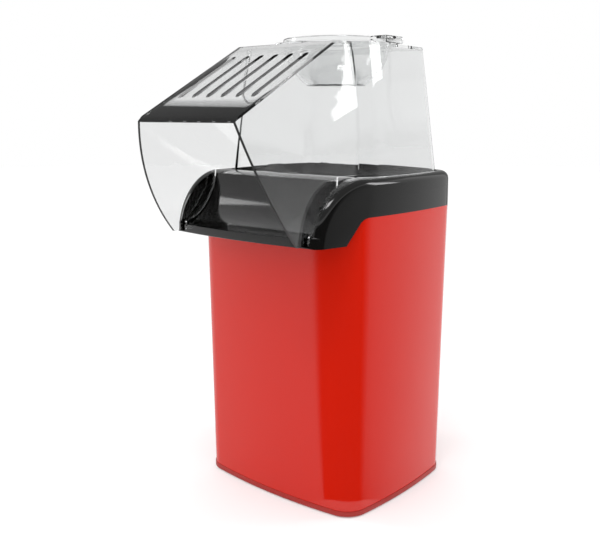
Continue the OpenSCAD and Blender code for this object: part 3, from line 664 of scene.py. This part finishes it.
edge_first = math.pi + math.asin((hood_edge[1] - lid_top + hood_drop) / hood_edge_r) + math.radians(0.7)
edge_last = math.pi + math.asin((hood_edge[1] - hood_foot) / hood_edge_r)
hood_back, nose, foot_back = -30 * mm, hood_front + 2 * mm, front + 6.5 * mm
hood_side = [(hood_back, lid_top), (hood_top_y, lid_top), (nose, hood_top(nose)),
             (hood_edge, hood_edge_r, edge_first, edge_last, 24),
             (foot_back, hood_foot), (foot_back, scoop_floor + 1.2 * mm),
             (scoop, scoop_r - 0.8 * mm, math.radians(-78), 0, 20), (hood_back, scoop[1])]
drop = lid_wall * math.sqrt(1 + slope ** 2)
knee = hood_top_y + (drop - lid_wall) / slope
inside_back, inside_front, inside_low = -28 * mm, -160 * mm, 100 * mm
hood_inside = [(inside_back, inside_low), (inside_back, lid_top - lid_wall), (knee, lid_top - lid_wall),
               (inside_front, hood_top(inside_front) - drop), (inside_front, inside_low)]
cup_low, cup_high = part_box("measuring_cup")
cup_y = (cup_low.y + cup_high.y) / 2
cup_r = 36.5 * mm
flange_reach = 2.7 * mm
lid = dome("lid_clear", 0, deck_top + 0.1 * mm)
cut(lid, hood("hood_outer", 0, hood_side), "UNION")
cut(lid, disc("cup_ring", (0, cup_y, lid_top - 0.9 * mm), cup_r + flange_reach, 4.2 * mm, "Z", 128), "UNION")
cut(lid, dome("dome_hollow", lid_wall, deck_top - 1 * mm))
cut(lid, hood("hood_hollow", lid_wall, hood_inside))
cut(lid, disc("cup_hole", (0, cup_y, lid_top), cup_r + 0.7 * mm, 0.04, "Z", 128))

slots = 6
slot_w, slot_margin = 3.8 * mm, 10 * mm
slot_pitch = 2 * (hood_half - slot_margin) / (slots - 1)
slot_mid = (hood_top_y + hood_front) / 2 + 5 * mm
slot_run = 27.1 * mm * math.cos(math.atan(slope))
for i in range(slots):
    x = (i - (slots - 1) / 2) * slot_pitch
    slot = block("slot", (x - slot_w / 2, slot_mid - slot_run, lid_top - 100 * mm),
                 (x + slot_w / 2, slot_mid + slot_run, lid_top + 10 * mm))
    soften(slot, 1.8 * mm, 5, 60)
    cut(lid, slot)


def clear_plastic(name, tint):
    """Clear polystyrene with the faint ripple that a mould leaves."""
    def detail(start, at):
        ripple = noise(start, at, 12)
        return {"Normal": bump(start, ripple, 0.05, 0.001)}
    return finish(name, tint, 0.02, detail, Transmission_Weight=1.0, IOR=1.46)


clear = clear_plastic("clear_plastic", (0.88, 0.885, 0.885))
lid.data.materials.append(clear)
# The second clear finish, tinted dark grey, is painted shade for the plastic's end faces
lid.data.materials.append(clear_plastic("clear_edge_painted_shade", (0.12, 0.12, 0.12)))

# The hood's cut front edge and the slot walls get a dark grey clear finish: painted shade that stands in for
# the dark surroundings which thick plastic shows when seen end on
for face in lid.data.polygons:
    x, y, z = face.center
    off_edge = abs(math.hypot(y - hood_edge[0], z - hood_edge[1]) - hood_edge_r)
    on_front = y < -80 * mm and off_edge < 0.4 * mm
    in_plate = abs(z - hood_top(y) + 1.1 * mm) < 1.5 * mm and abs(face.normal.z) < 0.5
    in_slots = abs(y - slot_mid) < slot_run + 1 * mm and abs(x) < hood_half - 4 * mm
    face.material_index = int(on_front or (in_plate and in_slots and face.area < 2.2e-4))
smooth(lid, 30)
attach(lid, "lid")
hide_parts("lid")


# ---------- Measuring cup ----------
# The clear cup that hangs in the lid's hole by its flange. It is a separate polystyrene moulding:
# a ball-shaped bowl with a flat floor, an upstanding rim and two hollow finger tabs.
cup_wall = 1.8 * mm
flange_t = 1.6 * mm
rim_round = 0.5 * mm
cup_flange_z = lid_top + 1.3 * mm
cup_ball_z = lid_top + 4.5 * mm
cup_floor = lid_top - 26 * mm
cup_top = cup_flange_z + 4.6 * mm
floor_angle = math.asin((cup_floor - cup_ball_z) / cup_r)
mouth_angle = math.asin((cup_flange_z - cup_ball_z) / cup_r)
inner_r = cup_r - cup_wall
inner_angle = math.asin((cup_floor + cup_wall - cup_ball_z) / inner_r)
flange_y = cup_y + cup_r + flange_reach
cup = start_piece("cup_clear")
trace([(cup_y, cup_floor), ((cup_y, cup_ball_z), cup_r, floor_angle, mouth_angle, 18),
       (flange_y, cup_flange_z), (flange_y, cup_flange_z + flange_t),
       (cup_y + cup_r, cup_flange_z + flange_t), (cup_y + cup_r, cup_top - rim_round),
       (cup_y + cup_r - rim_round, cup_top), (cup_y + inner_r + rim_round, cup_top),
       (cup_y + inner_r, cup_top - rim_round),
       ((cup_y, cup_ball_z), inner_r, 0, inner_angle, 18), (cup_y, cup_floor + cup_wall)], 0, "X")
bpy.ops.mesh.select_all(action="SELECT")
bpy.ops.mesh.spin(steps=96, angle=math.tau, center=(0, cup_y, 0), axis=(0, 0, 1))
close_piece(cup)

tab_in, tab_out, tab_half = 34.2 * mm, 48.5 * mm, 10 * mm
pocket_in = 39.2 * mm
for side in (-1, 1):
    ends = (side * tab_in, side * tab_out)
    tab = block("tab", (min(ends), cup_y - tab_half, cup_flange_z), (max(ends), cup_y + tab_half, cup_top))
    soften(tab, 1.2 * mm, 4, 60)
    ends = (side * pocket_in, side * (tab_out - cup_wall))
    cut(tab, block("pocket", (min(ends), cup_y - tab_half + cup_wall, cup_flange_z - 1 * mm),
                   (max(ends), cup_y + tab_half - cup_wall, cup_top - cup_wall)))
    cut(tab, disc("rim_gap", (0, cup_y, cup_top), cup_r - cup_wall / 2, 30 * mm, "Z", 96))
    cut(cup, tab, "UNION")
cup.data.materials.append(clear)
smooth(cup, 30)
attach(cup, "measuring_cup")
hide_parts("measuring_cup")


# ---------- Base cover ----------
# The dark red ABS cover that closes the case from below, with the motor pillars and the foot
# pockets moulded in. It is left matt from the tool, and its edges are broken.
def refined(source, material, width, body="machine"):
    """A sharp-edged piece again with its edges broken, standing in for the plain one."""
    piece = bpy.data.objects.new(source + "_fine", node[source].data.copy())
    scene.collection.objects.link(piece)
    pick(piece)
    bpy.ops.object.mode_set(mode="EDIT")
    bpy.ops.mesh.select_all(action="SELECT")
    bpy.ops.mesh.remove_doubles(threshold=1e-6)
    bpy.ops.mesh.dissolve_limited(angle_limit=math.radians(0.5))
    bpy.ops.mesh.normals_make_consistent(inside=False)
    bpy.ops.object.mode_set(mode="OBJECT")
    piece.data.materials.clear()
    piece.data.materials.append(material)
    soften(piece, width, 2)
    smooth(piece)
    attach(piece, body)
    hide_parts(source)


base_red = moulded((0.36, 0.012, 0.006), (0.33, 0.010, 0.005), 0.42, 1500, 0.12)
refined("base_cover", finish("base_matt_red", (0.35, 0.011, 0.0055), 0.42, base_red), 0.25 * mm)


# ---------- Rubber feet ----------
# Four soft black rubber feet, pushed into pockets in the base cover by the pin on top.
# Moulded, dull and slightly dusty, with a rounded rim.
rubber_black = moulded((0.012, 0.012, 0.012), (0.024, 0.023, 0.022), 0.8, 2500, 0.35)
refined("rubber_feet", finish("rubber_black", (0.016, 0.016, 0.016), 0.8, rubber_black), 0.4 * mm)


# ---------- Base screws ----------
# Zinc-plated steel screws driven up through the base cover into the case.
# The plating leaves a pale, faintly mottled gloss.
def plated(colour, shade, rough, spots=1400):
    """Plated or rolled metal: a crystal pattern of facets with slightly different gloss."""
    def detail(start, at):
        facet = start.node("ShaderNodeTexVoronoi", {}, {"Vector": at, "Scale": spots}, output=1)
        level = start.node("ShaderNodeSeparateXYZ", {}, {0: facet})
        drift = noise(start, at, 60)
        return {"Base Color": blend_colours(start, level, colour, shade),
                "Roughness": level * 0.12 + drift * 0.1 + (rough - 0.11),
                "Normal": bump(start, drift, 0.06, 0.0003)}
    return detail


def dress(source, material):
    """Gives a piece that keeps its modelled shape a finish of its own."""
    piece = node[source]
    piece.data.materials.clear()
    piece.data.materials.append(material)


zinc_plate = finish("zinc_plate", (0.6, 0.61, 0.64), 0.3,
                    plated((0.62, 0.63, 0.66), (0.50, 0.51, 0.54), 0.3), Metallic=1.0)
dress("base_screws", zinc_plate)


# ---------- Popping chamber ----------
# The aluminium pot that the corn pops in, pressed and spun from one sheet, with a ring of
# slanted air slots low in its wall. The spinning tool leaves fine rings round it.
def turned(colour, shade, rough, rings=900):
    """Spun or turned metal: fine rings round the upright axis and an uneven sheen."""
    def detail(start, at):
        split = start.node("ShaderNodeSeparateXYZ", {}, {0: at})
        x, y, z = split, split.out(1), split.out(2)
        reach = start.math("SQRT", x * x + y * y)
        ring = start.node("ShaderNodeCombineXYZ", {}, {0: reach * rings, 1: z * rings})
        grain = noise(start, ring, 1.0, 3)
        drift = noise(start, at, 25)
        return {"Base Color": blend_colours(start, grain, colour, shade),
                "Roughness": grain * 0.1 + drift * 0.08 + (rough - 0.09),
                "Normal": bump(start, grain, 0.1, 0.0002)}
    return detail


spun_aluminium = finish("spun_aluminium", (0.78, 0.79, 0.8), 0.3,
                        turned((0.80, 0.81, 0.82), (0.66, 0.67, 0.69), 0.3), Metallic=1.0)
dress("popping_chamber", spun_aluminium)


# ---------- Chamber screws and seal ----------
# Plated steel screws hold the pot under the collar, with a felted fibre ring between
# them that keeps the heat off the plastic.
def matted(colour, shade, rough, scale=(900, 900, 4000)):
    """Felted, woven or flaked sheet: streaks that lie flat, with a rough surface."""
    def detail(start, at):
        laid = start.node("ShaderNodeVectorMath", {"operation": "MULTIPLY"}, {0: at, 1: scale})
        streak = noise(start, laid, 1.0, 4, 0.7)
        return {"Base Color": blend_colours(start, streak, colour, shade),
                "Roughness": streak * 0.2 + (rough - 0.1),
                "Normal": bump(start, streak, 0.4, 0.0004)}
    return detail


dress("chamber_screws", zinc_plate)
dress("chamber_seal", finish("felted_fibre", (0.72, 0.66, 0.54), 0.9,
                             matted((0.76, 0.70, 0.58), (0.60, 0.53, 0.42), 0.9)))


# ---------- Collar screws ----------
# Plated steel screws driven up into the collar's bosses from inside the case, the same zinc plate
# as the base's.
dress("collar_screws", zinc_plate)


# ---------- Heat shield and heater duct ----------
# A thin bright aluminium sleeve round the heater, and the galvanised sheet duct that the
# air climbs through. Both are rolled from strip and seamed.
dress("heat_shield", finish("rolled_aluminium", (0.82, 0.83, 0.84), 0.25,
                            turned((0.84, 0.85, 0.86), (0.72, 0.73, 0.75), 0.25, 500), Metallic=1.0))
galvanised = finish("galvanised_sheet", (0.6, 0.62, 0.64), 0.42,
                    plated((0.64, 0.66, 0.68), (0.46, 0.48, 0.51), 0.42, 260), Metallic=1.0)
dress("heater_duct", galvanised)


# ---------- Mica plates ----------
# Two slotted sheets of pressed mica that cross inside the duct and carry the heater wire.
# The flakes give a golden brown, streaky, half-glossy face.
pressed_mica = finish("pressed_mica", (0.5, 0.41, 0.25), 0.45,
                      matted((0.58, 0.49, 0.31), (0.36, 0.27, 0.14), 0.45, (500, 500, 260)))
dress("mica_plate_long", pressed_mica)
dress("mica_plate_cross", pressed_mica)


# ---------- Heating coil ----------
# Nickel-chrome resistance wire wound in one length round the notched edges of the mica, dark grey
# with a heat-blued oxide.
oxide_wire = finish("oxide_wire", (0.2, 0.19, 0.18), 0.5,
                    plated((0.24, 0.22, 0.20), (0.12, 0.12, 0.15), 0.5, 800), Metallic=1.0)
dress("heating_coil", oxide_wire)


# ---------- Thermostat and thermal fuse ----------
# The bimetal thermostat and the one-shot fuse beside it, both in glazed steatite bodies
# clipped to the duct.
steatite = finish("glazed_steatite", (0.8, 0.77, 0.7), 0.3,
                  moulded((0.83, 0.80, 0.73), (0.74, 0.70, 0.62), 0.3, 1200, 0.06))
dress("thermostat", steatite)
dress("thermal_fuse", steatite)


# ---------- Fan housing and impeller ----------
# The black moulded housing that the fan blows from, its two plated screws, and the white
# nylon impeller pressed on the motor shaft.
inner_black = finish("inner_black", (0.02, 0.02, 0.02), 0.5,
                     moulded((0.022, 0.022, 0.022), (0.032, 0.031, 0.030), 0.5, 1600, 0.15))
dress("fan_housing", inner_black)
dress("housing_screws", zinc_plate)
dress("fan_impeller", finish("white_nylon", (0.8, 0.8, 0.76), 0.38,
                             moulded((0.84, 0.84, 0.80), (0.76, 0.76, 0.71), 0.38, 1100, 0.08)))


# ---------- Motor ----------
# A small direct-current motor: drawn steel can, black end bell, two ferrite magnets, bronze
# bushes, a copper-wound armature on a ground steel shaft, and two screws to the housing.
def wound(colour, shade, rough, turns=2600):
    """Enamelled wire laid turn beside turn: bands across the axle, with painted shade darkening the colour
    in the grooves.
    """
    def detail(start, at):
        split = start.node("ShaderNodeSeparateXYZ", {}, {0: at})
        wave = start.math("SINE", split.out(2) * turns + noise(start, at, 400) * 2)
        ridge = wave * 0.5 + 0.5
        # The grooves between turns take the darker colour: painted shade.
        return {"Base Color": blend_colours(start, ridge, shade, colour),
                "Roughness": ridge * -0.15 + (rough + 0.1),
                "Normal": bump(start, ridge, 0.5, 0.0004)}
    return detail


dress("motor_can", galvanised)
dress("motor_end_bell", inner_black)
dress("motor_magnets", finish("ferrite", (0.06, 0.06, 0.065), 0.6,
                              moulded((0.07, 0.07, 0.075), (0.045, 0.045, 0.05), 0.6, 2200, 0.3)))
dress("motor_bushes", finish("sintered_bronze", (0.6, 0.4, 0.2), 0.45,
                             plated((0.64, 0.43, 0.21), (0.46, 0.30, 0.14), 0.45, 3000), Metallic=1.0))
# The winding's second, darker colour is painted shade for the grooves between its turns.
dress("motor_armature", finish("copper_winding_groove_shade", (0.7, 0.28, 0.12), 0.35,
                               wound((0.78, 0.33, 0.15), (0.22, 0.07, 0.03), 0.3), Metallic=0.9))
dress("motor_shaft", finish("ground_steel", (0.6, 0.6, 0.62), 0.18,
                            turned((0.64, 0.64, 0.66), (0.54, 0.54, 0.57), 0.2, 3000), Metallic=1.0))
dress("motor_screws", zinc_plate)


# ---------- Rectifier board ----------
# A green glass-epoxy board on the motor's end that feeds it with direct current. It carries four
# black moulded diodes, soldered in by their leads.
dress("rectifier_board", finish("glass_epoxy", (0.04, 0.2, 0.09), 0.35,
                                matted((0.05, 0.24, 0.11), (0.03, 0.15, 0.07), 0.35, (2500, 2500, 2500))))
dress("diodes", inner_black)


# ---------- Cord gland and nut ----------
# The black nylon gland in the back of the case that grips a cord, and the nut behind it.
# Moulded, half matt, with broken edges.
gland_black = finish("gland_nylon", (0.014, 0.014, 0.014), 0.36,
                     moulded((0.014, 0.014, 0.014), (0.022, 0.022, 0.021), 0.36, 1800, 0.12))
refined("cord_gland", gland_black, 0.25 * mm)
dress("gland_nut", inner_black)


# ---------- Switch ----------
# The rocker switch in the back: a black snap-in housing, a dark red rocker that turns on its
# pins, and two brass blade terminals.
refined("switch_housing", gland_black, 0.25 * mm)
refined("switch_rocker", finish("rocker_red", (0.3, 0.01, 0.01), 0.22,
                                moulded((0.32, 0.012, 0.010), (0.27, 0.009, 0.008), 0.22, 1500, 0.06)),
        0.3 * mm, "rocker")
dress("switch_terminals", finish("rolled_brass", (0.74, 0.58, 0.28), 0.3,
                                 plated((0.78, 0.62, 0.30), (0.62, 0.47, 0.21), 0.3, 900), Metallic=1.0))
